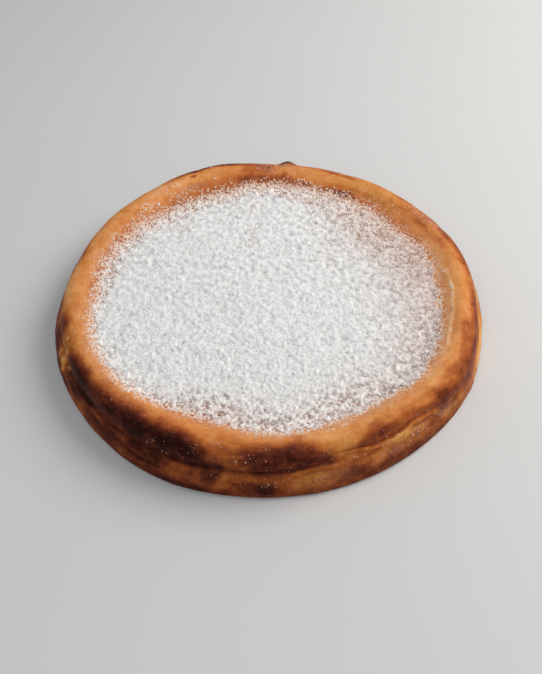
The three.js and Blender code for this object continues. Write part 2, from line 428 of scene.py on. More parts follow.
def goldOf(skin):
    levels, rise = goldLevels, skin["rise"]
    drift = np.maximum(addUp(levels["drift"], skin["points"]), 0)
    lowWall = 1 - smooth(*levels["wallTop"], rise)
    onSlope = smooth(*levels["slopeStart"], rise)
    gold = drift * (1 - levels["slopeLoss"] * onSlope) + levels["wallShare"] * lowWall
    for *patch, share in levels["patches"]:
        gold = np.maximum(gold, share * (1 - smooth(*levels["patchFade"], patchAway(skin, *patch))))
    return gold


# sugar: how thickly it lies, from 1 in the hollow to 0 on the slope; its edge is softer at the back and right
sugarSpread = {
    "azimuths": (0, 15, 30, 45, 60, 75, 95, 140, 165, 180, 195, 210, 225, 250, 270, 315, 330, 345, 360),
    # mm from the disc's outline out to where the edge lies, then mm over which it fades
    "past": (-0.2, 6, 1.4, 1.4, -1.6, -0.8, -1, -0.3, 0.2, -2, 2, 0, 1.2, 0, 0.4, 0.7, 1.1, -1.2, -0.2),
    "soft": (3.6, 6.5, 9, 10, 9, 10, 10, 9, 8.5, 8, 7, 6, 6, 6, 5, 5.5, 4, 3.6, 3.6),
    # mm inside the edge over which the sugar thins, and what is left of it there
    "band": (50, 52, 50, 48, 40, 26, 20, 22, 18, 16, 13, 12, 14, 26, 30, 36, 42, 46, 50),
    "edgeFill": (0.86, 0.73, 0.66, 0.75, 0.76, 0.65, 0.5, 0.51, 0.64, 0.72, 0.8, 0.8, 0.84, 0.76, 0.83, 0.86,
                 0.86, 0.86, 0.86),
    # how much thinner it looks than it lies, and darker; each reaches in over so many bands
    "dull": (0.12, 0.12, 0.12, 0.12, 0.1, 0.06, 0.04, 0.04, 0.03, 0.02, 0, 0, 0.03, 0.06, 0.08, 0.08, 0.09,
             0.1, 0.12),
    "dullReach": 1.5,
    "dim": (0.07, 0.07, 0.06, 0.05, 0.04, 0.04, 0.03, 0.01, 0, 0, 0, 0, 0, 0, 0.01, 0.03, 0.06, 0.07, 0.07),
    "dimReach": 1.6,
    # how grainy the edge is, the sugar in the band and in the middle, and the difference between its grains
    "edgeRelief": (0.48, 0.52, 0.65, 0.7, 0.75, 0.8, 0.9, 0.8, 0.8, 0.8, 0.75, 0.7, 0.6, 0.5, 0.45, 0.45,
                   0.45, 0.46, 0.48),
    "edgeReliefReach": (-2, 7),
    "bandRelief": (0.6, 0.55, 0.58, 0.65, 0.75, 0.9, 1.1, 1.15, 1.1, 1.05, 1.05, 1.05, 1.05, 1.1, 1.1, 0.9,
                   0.7, 0.64, 0.6),
    "middleRelief": 0.62,
    "contrast": (0.64, 0.64, 0.66, 0.7, 0.8, 0.92, 1.1, 1.12, 1.1, 1.04, 1, 1, 1.1, 1.1, 1.1, 0.95, 0.8, 0.7,
                 0.64),
    # dust on the crust at the edge, mm over which it thins out, and how many grains lie there
    "film": (0.5, 0.4, 0.22, 0.26, 0.06, 0.1, 0.08, 0.1, 0.14, 0.16, 0.22, 0.24, 0.24, 0.24, 0.3, 0.42, 0.5,
             0.5, 0.5),
    "filmReach": (2.8, 3.4, 4.5, 4.5, 3, 3, 3, 3, 3, 3, 3, 3, 2.4, 2.2, 2.2, 3.0, 2.8, 2.6, 2.8),
    "strewn": (0.05, 0.15, 0.3, 0.5, 0.7, 1, 1, 1, 0.9, 0.7, 0.5, 0.35, 0.2, 0.1, 0.05, 0.05, 0.05, 0.05,
               0.05),
    "ragged": [(2.4, 14, 31), (1.4, 5, 32)],
    "patchy": [(0.16, 16, 33), (0.1, 7, 34)],
}


def around(values, azimuth):
    return np.interp(azimuth % 360, sugarSpread["azimuths"], values)


def sugarOutline(azimuth):
    form = cakeForm
    outline = form["sugarRadius"] + waves(azimuth, form["sugarWaves"]) + swells(azimuth, form["sugarSwells"])
    return outline + around(sugarSpread["past"], azimuth)


def sugarFill(radius, azimuth):
    spread = sugarSpread
    flat = ringPoints(radius, azimuth, 0)
    inside = sugarOutline(azimuth) + addUp(spread["ragged"], flat) - radius
    edge = smooth(-1, 1, inside / around(spread["soft"], azimuth))
    share = inside / around(spread["band"], azimuth)
    body = np.clip(smooth(0, 1, share) + addUp(spread["patchy"], flat), 0, 1)
    thin = 1 - body
    fill = edge * (1 - (1 - around(spread["edgeFill"], azimuth)) * thin)
    dull = around(spread["dull"], azimuth) * (1 - smooth(0, spread["dullReach"], share))
    coarse = around(spread["bandRelief"], azimuth) * thin + spread["middleRelief"] * body
    fine = around(spread["edgeRelief"], azimuth)
    return {
        "fill": fill,
        "thick": np.clip(fill - dull, 0, 1),
        "relief": coarse * (fine + (1 - fine) * smooth(*spread["edgeReliefReach"], inside)),
        "contrast": 1 - (1 - around(spread["contrast"], azimuth)) * thin,
        "strewn": around(spread["strewn"], azimuth),
        "dim": around(spread["dim"], azimuth) * (1 - smooth(0, spread["dimReach"], share)),
    }


# sugar dust on the crust, with a little painted sheen
dustAndSheenLevels = {
    "topStart": (-9, 1),  # mm past the crest over which the film at the sugar's edge sets in
    "betweenGrains": 0.5,  # cover under the sugar's edge
    "betweenStart": (2, -5),  # mm past the sugar's outline
    "bloom": [(0.16, 9, 35), (0.1, 3, 36)],  # faint dust on the rim
    "bloomCover": 0.14,
    "bloomStart": (-7, 0),
    # paler places: azimuth, rise, half width, half height, cover; the first two, on the crest at the back and
    # at the right, are painted sheen
    "patches": [
        (85, 17, 9, 8, 0.1), (28, 16.5, 9, 4, 0.13), (128, 20.5, 7, 3, 0.14), (120, 28, 7, 3, 0.14),
        (165, 25, 10, 5, 0.1), (205, 25, 9, 3, 0.18), (220, 25, 6, 3, 0.24), (270, 24.5, 8, 2, 0.14),
        (325, 26.5, 8, 3.4, 0.05), (289, 19.5, 6, 1.2, 0.3), (136, 26, 5, 2.5, 0.2), (300, -11, 7, 4, 0.05),
        (332, -9, 8, 7, 0.06), (317, -5, 4, 4, 0.07), (338, -13, 9, 4, 0.05), (308, -7, 3, 3, 0.06),
        (283, -9, 8, 5, 0.03), (137.5, 23, 2, 1.8, 0.3), (155, 24.8, 2.2, 1.8, 0.26), (122.5, 22, 3, 2, 0.2),
    ],
    "patchFade": (0.2, 1.4),
    # thin broken lines on the inner slope, as for the creases
    "lines": [(*slopeRidge, 0.55, 0.8), ((0, 3, 7.5, 13), (26.6, 27.6, 29.7, 31.2), 0.7, 0.8)],
    "breaks": {"size": 3, "seed": 39, "fade": (-0.3, 0.15)},
}


def dustAndSheenOf(skin):
    levels, azimuth = dustAndSheenLevels, skin["azimuth"]
    past = skin["radius"] - sugarOutline(azimuth)
    thin = np.exp(-np.maximum(past, 0) / around(sugarSpread["filmReach"], azimuth))
    film = around(sugarSpread["film"], azimuth) * thin * smooth(*levels["topStart"], skin["fromCrest"])
    bloom = np.maximum(addUp(levels["bloom"], skin["points"]), 0)
    dust = film + levels["bloomCover"] * bloom * smooth(*levels["bloomStart"], skin["fromCrest"])
    dust = dust + levels["betweenGrains"] * smooth(*levels["betweenStart"], past)
    for *patch, cover in levels["patches"]:
        dust = dust + cover * (1 - smooth(*levels["patchFade"], patchAway(skin, *patch)))
    breaks = levels["breaks"]
    broken = smooth(*breaks["fade"], lumpNoise(skin["points"], breaks["size"], breaks["seed"]))
    dust = dust + broken * sideLines(levels["lines"], azimuth, skin["rise"])
    return np.clip(dust, 0, 1)


def meshPiece(name, points, faces, fields, material):
    mesh = bpy.data.meshes.new(name)
    mesh.from_pydata((points * mm).tolist(), [], faces)
    mesh.shade_smooth()
    for field, values in fields.items():
        mesh.attributes.new(field, "FLOAT", "POINT").data.foreach_set("value", values.astype(np.float32))
    mesh.materials.append(material)
    piece = bpy.data.objects.new(name, mesh)
    bpy.context.scene.collection.objects.link(piece)
    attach(piece, "root")
    return piece


def makeCrust(skin, material):
    columns, rings = skin["rise"].shape
    place = np.arange(columns * rings).reshape(columns, rings)
    beside = np.roll(place, -1, axis=0)
    quads = np.stack([place[:, :-1], beside[:, :-1], beside[:, 1:], place[:, 1:]], axis=-1).reshape(-1, 4)
    under, over = columns * rings, columns * rings + 1
    fans = [(under, b, a) for a, b in zip(place[:, 0].tolist(), beside[:, 0].tolist())]
    fans += [(a, b, over) for a, b in zip(place[:, -1].tolist(), beside[:, -1].tolist())]
    middle = np.array([[0, 0, 0], [0, 0, topSurface(np.zeros(1), np.zeros(1))[0]]])
    points = np.concatenate([skin["points"].reshape(-1, 3), middle])
    fields = {field: np.append(skin[field].ravel(), ends) for field, ends in crust["middles"].items()}
    piece = meshPiece("crust", points, quads.tolist() + fans, fields, material)
    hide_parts("cake")


# sugar coat: a disc of even triangles whose grains rise and sink, so that the crust shows between them
coat = {
    "rings": 180,
    "skirt": 12,  # mm past the sugar's edge, where the disc runs under the crust
    "crestGap": 0.5,  # mm that the disc stays inside the crest
    "thick": 0.85,
    "sink": 0.95,
    "underside": 19,  # height of its hidden lower face
    "relief": [(0.85, 2.0, 41), (0.7, 3.6, 42), (0.3, 8, 43)],
    "coarser": [(-0.3, 2.0, 41), (0.18, 3.6, 42)],  # added to it towards the back
    "backStart": (-70, 20),
    "farBackStart": (20, 80),
    "farBackShare": 0.7,
    # the coat's tone follows its relief: low places are painted shade
    "toneMiddle": 0.5,
    "toneRange": 1.7,  # mm of relief from the darkest to the lightest
}


def discTriangles(rings):
    faces = []
    for ring in range(1, rings + 1):
        outer, inner = 1 + 3 * ring * (ring - 1), max(1 + 3 * (ring - 1) * (ring - 2), 0)
        count, countIn = 6 * ring, max(6 * (ring - 1), 1)
        for side in range(6):
            step = np.arange(ring)
            here = outer + (side * ring + step) % count
            ahead = outer + (side * ring + step + 1) % count
            below = inner + (side * (ring - 1) + step) % countIn
            faces.append(np.stack([here, ahead, below], axis=1))
            belowAhead = inner + (side * (ring - 1) + step + 1) % countIn
            faces.append(np.stack([ahead, belowAhead, below], axis=1)[:-1])
    return np.concatenate(faces)


def makeCoat(material):
    ring = np.repeat(np.arange(1, coat["rings"] + 1), 6 * np.arange(1, coat["rings"] + 1))
    first = 1 + 3 * ring * (ring - 1)
    azimuth = np.append(0, (np.arange(1, len(ring) + 1) - first) * 360 / (6 * ring))
    share = np.append(0, ring / coat["rings"])
    crestRadius = rimLines(azimuth)[1]
    radius = share * np.minimum(sugarOutline(azimuth) + coat["skirt"], crestRadius - coat["crestGap"])
    laid = sugarFill(radius, azimuth)
    fill = laid["fill"]
    floorHeight = topSurface(radius, azimuth)
    flat = ringPoints(radius, azimuth, 0)
    back = flat[:, 1]
    far = smooth(*coat["backStart"], back) + coat["farBackShare"] * smooth(*coat["farBackStart"], back)
    grain = laid["relief"] * (addUp(coat["relief"], flat) + far * addUp(coat["coarser"], flat))
    depth = coat["thick"] * fill - coat["sink"] * (1 - fill) + grain
    depth[-6 * coat["rings"]:] = -coat["sink"]  # the rim of the disc stays under the crust
    points = ringPoints(radius, azimuth, floorHeight + np.maximum(depth, -coat["sink"]))

    # inside the cake a wall goes down from the disc's rim, and a fan closes it below
    last, count = len(points), 6 * coat["rings"]
    rim, low = np.arange(last - count, last), np.arange(last, last + count)
    rimAhead, lowAhead = np.roll(rim, -1), np.roll(low, -1)
    wall = np.concatenate([
        np.stack([rim, low, lowAhead], axis=1),
        np.stack([rim, lowAhead, rimAhead], axis=1),
    ])
    fan = np.stack([lowAhead, low, np.full(count, last + count)], axis=1)
    faces = np.concatenate([discTriangles(coat["rings"]), wall, fan]).tolist()
    lowRing = points[rim] * (1, 1, 0) + (0, 0, coat["underside"])
    points = np.concatenate([points, lowRing, [[0, 0, coat["underside"]]]])
    # painted shade: the sugar is darker where its grains lie low and lighter on their tops
    tone = np.clip(coat["toneMiddle"] - laid["dim"] + laid["contrast"] * grain / coat["toneRange"], 0, 1)
    hidden = np.zeros(count + 1)
    fields = {
        "tone": np.append(tone, hidden),
        "thick": np.append(laid["thick"], hidden),
        "speckle": np.append(laid["contrast"], hidden),
    }
    piece = meshPiece("sugar_coat", points, faces, fields, material)
    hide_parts("icing_sugar")
    laid["points"] = ringPoints(radius, azimuth, floorHeight + np.maximum(depth, 0))
    laid["depth"] = depth
    return laid


# loose sugar: many small lumps joined into one mesh for each kind; sizes are in mm
lumps = {
    "uneven": (0.75, 1.25),  # shares by which corners stand in or out
    "speckle": 0.7,
    "dimming": 2,  # lumps are darker where the sugar is dim and thick
    "dimFrom": (0.3, 0.8),
}


def lumpShape(sides):
    shape = bmesh.new()
    if sides == 8:
        tips = ((1, 0, 0), (0, 1, 0), (-1, 0, 0), (0, -1, 0), (0, 0, 1), (0, 0, -1))
        corners = [shape.verts.new(tip) for tip in tips]
        for i in range(4):
            shape.faces.new((corners[i], corners[(i + 1) % 4], corners[4]))
            shape.faces.new((corners[(i + 1) % 4], corners[i], corners[5]))
    else:
        bmesh.ops.create_icosphere(shape, subdivisions=1, radius=1)
    shape.verts.index_update()
    points = np.array([v.co[:] for v in shape.verts])
    faces = np.array([[v.index for v in f.verts] for f in shape.faces])
    shape.free()
    return points, faces


def makeLumps(name, places, sizes, sides, material, rng, tone, thick):
    points, faces = lumpShape(sides)
    count = len(places)
    w, x, y, z = rng.normal(size=(4, count))
    norm = np.sqrt(w * w + x * x + y * y + z * z)
    w, x, y, z = w / norm, x / norm, y / norm, z / norm
    spin = np.array([
        [1 - 2 * (y * y + z * z), 2 * (x * y - w * z), 2 * (x * z + w * y)],
        [2 * (x * y + w * z), 1 - 2 * (x * x + z * z), 2 * (y * z - w * x)],
        [2 * (x * z - w * y), 2 * (y * z + w * x), 1 - 2 * (x * x + y * y)],
    ]).transpose(2, 0, 1)
    uneven = points[None] * rng.uniform(*lumps["uneven"], (count, len(points), 1)) * sizes[:, None, None] / 2
    joined = uneven @ spin + places[:, None, :]
    allFaces = faces[None] + len(points) * np.arange(count)[:, None, None]
    fields = {
        "tone": np.repeat(tone, len(points)),
        "thick": np.repeat(thick, len(points)),
        "speckle": np.full(count * len(points), lumps["speckle"]),
    }
    piece = meshPiece(name, joined.reshape(-1, 3), allFaces.reshape(-1, 3).tolist(), fields, material)


# small lumps are common and large ones rare
def lumpSizes(kind, rng, count):
    return kind["small"] + (kind["large"] - kind["small"]) * rng.random(count) ** 2


def lumpDimming(laid, chosen):
    return lumps["dimming"] * laid["dim"][chosen] * smooth(*lumps["dimFrom"], laid["thick"][chosen])


# fine grains on the coat
looseGrains = {
    "count": 16000,
    "small": 0.4,
    "large": 0.85,
    "seed": 51,
    "leastDepth": 0.05,  # none where the coat lies lower over the crust
    "leastShare": 0.25,  # of them where it is thin
    "edgeShare": 0.2,  # and more of them where it ends
    "edgeStart": (0.02, 0.2),
    "edgeEnd": 0.45,
    "backShare": 0.12,  # fewer of them towards the back
    "frontStart": (-20, 70),
    "scatter": 0.3,
    "tone": 0.8,
}


def makeLooseGrains(laid, material):
    grains, fill = looseGrains, laid["fill"]
    rng = np.random.default_rng(grains["seed"])
    least, backShare = grains["leastShare"], grains["backShare"]
    shown = (laid["depth"] > grains["leastDepth"]) * (least + (1 - least) * fill)
    edge = grains["edgeShare"] * laid["strewn"] * smooth(*grains["edgeStart"], fill)
    shown = shown + edge * (fill < grains["edgeEnd"])
    shown = shown * (backShare + (1 - backShare) * smooth(*grains["frontStart"], -laid["points"][:, 1]))
    chosen = rng.choice(len(shown), grains["count"], p=shown / shown.sum())
    sizes = lumpSizes(grains, rng, len(chosen))
    scatter = rng.uniform(-grains["scatter"], grains["scatter"], (len(chosen), 3)) * (1, 1, 0)
    places = laid["points"][chosen] + scatter
    tone = grains["tone"] - lumpDimming(laid, chosen)
    makeLumps("sugar_grains", places, sizes, 8, material, rng, tone, laid["thick"][chosen])


# flecks strewn on the rim
rimGrains = {
    "count": 900,
    "small": 1.0,
    "large": 2.1,
    "seed": 52,
    "sparse": 0.001,  # share that lies anywhere on the rim and the side
    "topStart": (-7, 2),  # mm past the crest
    "reach": 0.7,  # share of the sugar's soft edge over which they thin out
    "lowest": 3,  # none under this height
    "innermost": -14,  # mm past the sugar's outline
    "farFrom": 20,  # times sparse, where they begin to be smaller
    "farSize": 0.5,
    "sunk": 0.36,  # share of the size, so that they lie flat
    "scatter": 0.25,
    "tone": (0.62, 0.9),
    "thick": 0.25,
}

# groups of specks on the side, and one on the inner slope
specks = {
    # azimuth, rise above the fold, spread in degrees and mm, count, size
    "groups": [
        (251, 10.5, 1.2, 2, 14, 0.6), (258, 16, 2, 0.8, 10, 0.7), (262, 10, 1.2, 1.4, 12, 0.8),
        (266, 10, 2, 1.4, 10, 0.6), (279, 11.5, 0.5, 0.8, 2, 0.7), (280, -1.1, 3, 0.4, 9, 0.6),
        (255.7, -3.5, 0.4, 0.7, 3, 0.8), (263.5, -7, 0.4, 0.6, 2, 0.8), (269, -7, 2.2, 1.4, 14, 0.7),
        (275, -5, 0.6, 0.8, 3, 0.7), (281, -8, 0.6, 1, 3, 0.7), (282.5, -13.5, 0.5, 0.8, 2, 0.7),
        (289, -2.4, 0.9, 0.8, 8, 1.0), (307, -6.5, 1.8, 2.4, 9, 1.3), (304, -11.5, 0.5, 0.8, 3, 0.9),
        (298, -5, 3, 0.6, 10, 0.9), (192.3, 20, 0.2, 0.3, 3, 0.9), (240, 9, 0.8, 1, 4, 0.6),
        (239, 4, 0.4, 1, 3, 0.8), (236, 18, 4, 0.6, 4, 0.6), (222, 17.5, 2, 0.6, 3, 0.6),
        (308, 1, 3, 0.4, 4, 0.8), (5, 28.6, 2.5, 0.4, 9, 0.8), (262, 13, 7, 5, 34, 0.6),
        (278, 6, 9, 5, 30, 0.6), (292, 8, 9, 6, 22, 0.65), (246, 6, 9, 6, 20, 0.55),
        (268, -7, 9, 4, 30, 0.65), (290, -6, 9, 4, 30, 0.7), (308, -6, 8, 4, 24, 0.75),
    ],
    "sizes": (0.6, 1.2),
    "sunk": 0.24,
    "tone": (0.36, 0.68),
    "thick": 0.2,
    "slopeStart": 24,  # rise above which they are paler
    "slopeTone": 0.3,
    "slopeThick": 0.26,
}


def makeRimGrains(skin, material):
    rng = np.random.default_rng(rimGrains["seed"])
    azimuth, rise = skin["azimuth"].ravel(), skin["rise"].ravel()
    past = (skin["radius"] - sugarOutline(skin["azimuth"])).ravel()
    onTop = smooth(*rimGrains["topStart"], skin["fromCrest"]).ravel()
    reach = rimGrains["reach"] * around(sugarSpread["soft"], azimuth)
    dense = np.exp(-np.maximum(past, 0) / reach) * onTop * around(sugarSpread["strewn"], azimuth)
    high = skin["height"].ravel() > rimGrains["lowest"]
    weight = (dense + rimGrains["sparse"]) * high * (past > rimGrains["innermost"])
    count, farSize = rimGrains["count"], rimGrains["farSize"]
    chosen = [rng.choice(len(weight), count, p=weight / weight.sum())]
    near = dense[chosen[0]] / (dense[chosen[0]] + rimGrains["farFrom"] * rimGrains["sparse"])
    sizes = [lumpSizes(rimGrains, rng, count) * (farSize + (1 - farSize) * near)]
    sunk = [rimGrains["sunk"] * sizes[0]]
    tone = [rng.uniform(*rimGrains["tone"], count)]
    thick = [np.full(count, rimGrains["thick"])]
    for middle, groupRise, turnSpread, riseSpread, count, size in specks["groups"]:
        aside, above = turnBetween(azimuth, middle) / turnSpread, (rise - groupRise) / riseSpread
        weight = np.exp(-aside ** 2 - above ** 2)
        onSlope = groupRise > specks["slopeStart"]
        chosen.append(rng.choice(len(weight), count, p=weight / weight.sum()))
        sizes.append(size * rng.uniform(*specks["sizes"], count))
        sunk.append(specks["sunk"] * sizes[-1])
        tone.append(rng.uniform(*specks["tone"], count) + (specks["slopeTone"] if onSlope else 0))
        thick.append(np.full(count, specks["slopeThick"] if onSlope else specks["thick"]))
    chosen, sizes, sunk, tone, thick = map(np.concatenate, (chosen, sizes, sunk, tone, thick))
    scatter = rng.uniform(-rimGrains["scatter"], rimGrains["scatter"], (len(chosen), 3))
    places = skin["points"].reshape(-1, 3)[chosen] + scatter
    places -= skin["out"].reshape(-1, 3)[chosen] * sunk[:, None]
    makeLumps("sugar_specks", places, sizes, 20, material, rng, tone, thick)


# larger lumps, most of them at the coat's edge
clumps = {
    "count": 4600,
    "small": 0.8,
    "large": 1.6,
    "seed": 53,
    "everywhere": 0.08,
    "edge": 4,  # times the covered share and the bare share, whose product is a quarter at most
    "edgeLeast": 0.3,  # share of that where few grains are strewn
    "fillStart": (0, 0.25),
    "larger": 0.3,  # how much larger they are where many grains are strewn
    "sunk": 0.15,
    "tone": 0.76,
    "thickTone": 0.1,
}


def makeClumps(laid, material):
    rng = np.random.default_rng(clumps["seed"])
    fill, strewn, least = laid["fill"], laid["strewn"], clumps["edgeLeast"]
    shown = clumps["everywhere"] + clumps["edge"] * fill * (1 - fill) * (least + (1 - least) * strewn)
    shown = shown * smooth(*clumps["fillStart"], fill)
    chosen = rng.choice(len(shown), clumps["count"], p=shown / shown.sum())
    sizes = lumpSizes(clumps, rng, len(chosen)) * (1 + clumps["larger"] * strewn[chosen])
    places = laid["points"][chosen]
    places[:, 2] -= clumps["sunk"] * sizes
    thick = laid["thick"][chosen]
    tone = clumps["tone"] + clumps["thickTone"] * thick - lumpDimming(laid, chosen)
    makeLumps("sugar_clumps", places, sizes, 20, material, rng, tone, thick)


# colours are named as seen on a screen, 0 to 255
def paint(red, green, blue):
    def linear(level):
        level = level / 255
        return level / 12.92 if level <= 0.04045 else ((level + 0.055) / 1.055) ** 2.4
    return (linear(red), linear(green), linear(blue), 1)


def addNode(tree, kind, place, settings=None, sockets=None):
    node = tree.nodes.new(kind)
    node.location = place
    for name, value in (settings or {}).items():
        setattr(node, name, value)
    for name, value in (sockets or {}).items():
        node.inputs[name].default_value = value
    return node


# a value that the mesh carries
def addField(tree, name, place):
    return addNode(tree, "ShaderNodeAttribute", place, {"attribute_name": name})


def addRamp(tree, stops, place):
    node = addNode(tree, "ShaderNodeValToRGB", place)
    ramp = node.color_ramp
    while len(ramp.elements) < len(stops):
        ramp.elements.new(0.5)
    for element, (stop, red, green, blue) in zip(ramp.elements, stops):
        element.position = stop
        element.color = paint(red, green, blue)
    return node


# sockets of a colour mix go by number, since their names repeat
mixShare, mixFirst, mixSecond, mixResult = 0, 6, 7, 2


def addColourMix(tree, place):
    return addNode(tree, "ShaderNodeMix", place, {"data_type": "RGBA"})


def addBump(tree, strength, distance, place):
    return addNode(tree, "ShaderNodeBump", place, sockets={"Strength": strength, "Distance": distance})


# joins nodes by (from, its output, to, its input)
def joinNodes(tree, joins):
    for source, output, target, socket in joins:
        tree.links.new(source.outputs[output], target.inputs[socket])


def newMaterial(name):
    material = bpy.data.materials.new(name)
    material.use_nodes = True
    tree = material.node_tree
    shader = tree.nodes["Principled BSDF"]
    return material, tree, shader


powderNoise = {"Detail": 2.0, "Roughness": 0.6}
powderSteep, powderShift = 8, -3.1  # how sharply grains stand out, and how few they are


def powderGroup():
    group = bpy.data.node_groups.new("powder speckle", "ShaderNodeTree")
    for name in ("Cover", "Grains Per Metre"):
        group.interface.new_socket(name, in_out="INPUT", socket_type="NodeSocketFloat")
    for name in ("Mask", "Height"):
        group.interface.new_socket(name, in_out="OUTPUT", socket_type="NodeSocketFloat")
    start = addNode(group, "NodeGroupInput", (-900, 0))
    coords = addNode(group, "ShaderNodeTexCoord", (-900, -200))
    noise = addNode(group, "ShaderNodeTexNoise", (-650, -100), sockets=powderNoise)
    uneven = addNode(group, "ShaderNodeMath", (-420, 60), {"operation": "MULTIPLY_ADD"})
    uneven.inputs[1].default_value = powderSteep
    uneven.inputs[2].default_value = powderShift
    mask = addNode(group, "ShaderNodeMath", (-220, 60), {"operation": "MULTIPLY", "use_clamp": True})
    end = addNode(group, "NodeGroupOutput", (0, 0))
    joinNodes(group, (
        (coords, "Object", noise, "Vector"),
        (start, "Grains Per Metre", noise, "Scale"),
        (noise, "Fac", uneven, 0),
        (start, "Cover", mask, 0),
        (uneven, 0, mask, 1),
        (mask, 0, end, "Mask"),
        (noise, "Fac", end, "Height"),
    ))
    return group


crustFinish = {
    # by toast, from pale to dark, and the same where the crust is gold: stop, red, green, blue
    "browning": [
        (0.00, 242, 200, 136), (0.20, 232, 160, 96), (0.36, 214, 132, 68), (0.52, 176, 93, 44),
        (0.70, 122, 56, 33), (0.86, 79, 32, 22), (1.00, 47, 18, 12),
    ],
    "goldBrowning": [
        (0.00, 232, 208, 150), (0.20, 222, 172, 98), (0.36, 198, 136, 62), (0.52, 158, 94, 40),
        (0.70, 104, 52, 26), (0.86, 66, 29, 19), (1.00, 42, 18, 13),
    ],
    # pale colour of the sugar dust, also used for the painted sheen
    "dusted": paint(244, 223, 207),
    "mottle": {"Scale": 260, "Detail": 5.0, "Roughness": 0.62},  # scales are lumps per metre
    "mottleShift": {"From Min": 0.25, "From Max": 0.75, "To Min": -0.05, "To Max": 0.05},
    "pores": {"Scale": 900, "Detail": 4.0, "Roughness": 0.6},
    "poreBump": (0.35, 0.0004),  # strength, and height in metres
    "dustGrainsPerMetre": 620,
    "dustBump": (0.6, 0.0003),
    "specular": 0.04,
    "roughness": {"To Min": 0.52, "To Max": 0.4},  # of pale crust, then of dark
    "dustRoughness": 0.95,
}


def makeCrustMaterial(powder):
    material, tree, shader = newMaterial("baked crust")
    finish = crustFinish
    coords = addNode(tree, "ShaderNodeTexCoord", (-1500, -300))
    toast = addField(tree, "toast", (-1500, 200))
    dust = addField(tree, "dust", (-1500, 0))
    gold = addField(tree, "gold", (-650, 650))
    mottle = addNode(tree, "ShaderNodeTexNoise", (-1250, 100), sockets=finish["mottle"])
    shift = addNode(tree, "ShaderNodeMapRange", (-1050, 100), sockets=finish["mottleShift"])
    browned = addNode(tree, "ShaderNodeMath", (-850, 180), {"operation": "ADD", "use_clamp": True})
    ramp = addRamp(tree, finish["browning"], (-650, 200))
    goldRamp = addRamp(tree, finish["goldBrowning"], (-650, 450))
    baked = addColourMix(tree, (-330, 400))
    speckle = addNode(tree, "ShaderNodeGroup", (-850, -80), {"node_tree": powder},
                      {"Grains Per Metre": finish["dustGrainsPerMetre"]})
    colour = addColourMix(tree, (-300, 200))
    colour.inputs[mixSecond].default_value = finish["dusted"]
    shader.inputs["Specular IOR Level"].default_value = finish["specular"]
    gloss = addNode(tree, "ShaderNodeMapRange", (-650, -100), sockets=finish["roughness"])
    dull = addNode(tree, "ShaderNodeMix", (-300, -50))  # mixes plain numbers, in sockets 2 and 3
    dull.inputs[3].default_value = finish["dustRoughness"]
    pores = addNode(tree, "ShaderNodeTexNoise", (-850, -350), sockets=finish["pores"])
    skin = addBump(tree, *finish["poreBump"], (-300, -300))
    grains = addBump(tree, *finish["dustBump"], (-100, -300))
    joinNodes(tree, (
        (coords, "Object", mottle, "Vector"),
        (coords, "Object", pores, "Vector"),
        (mottle, "Fac", shift, "Value"),
        (toast, "Fac", browned, 0),
        (shift, "Result", browned, 1),
        (browned, 0, ramp, "Fac"),
        (browned, 0, goldRamp, "Fac"),
        (gold, "Fac", baked, mixShare),
        (ramp, "Color", baked, mixFirst),
        (goldRamp, "Color", baked, mixSecond),
        (dust, "Fac", speckle, "Cover"),
        (speckle, "Mask", colour, mixShare),
        (baked, mixResult, colour, mixFirst),
        (colour, mixResult, shader, "Base Color"),
        (browned, 0, gloss, "Value"),
        (speckle, "Mask", dull, 0),
        (gloss, "Result", dull, 2),
        (dull, 0, shader, "Roughness"),
        (pores, "Fac", skin, "Height"),
        (skin, "Normal", grains, "Normal"),
        (speckle, "Mask", grains, "Height"),
        (grains, "Normal", shader, "Normal"),
    ))
    return material


sugarFinish = {
    # by tone, from the hollows between the grains, painted in shade, to their tops, in the same way
    "deep": [
        (0.00, 182, 182, 179), (0.35, 224, 223, 221), (0.60, 242, 241, 239), (0.85, 254, 253, 251),
    ],
    "thin": [
        (0.00, 118, 82, 64), (0.32, 176, 144, 130), (0.56, 229, 211, 203), (0.78, 255, 246, 240),
    ],
    "film": [
        (0.00, 120, 72, 48), (0.40, 170, 121, 95), (0.60, 216, 176, 152), (0.85, 238, 209, 188),
    ],
    # by thickness, from film to thin and from thin to deep
    "thinStart": {"From Min": 0.2, "From Max": 0.65},
    "deepStart": {"From Min": 0.7, "From Max": 1.0},
    "grainsPerMetre": 900,
    "grainTone": 0.9,
    "grainBump": (0.35, 0.0004),
    "roughness": 0.95,
}


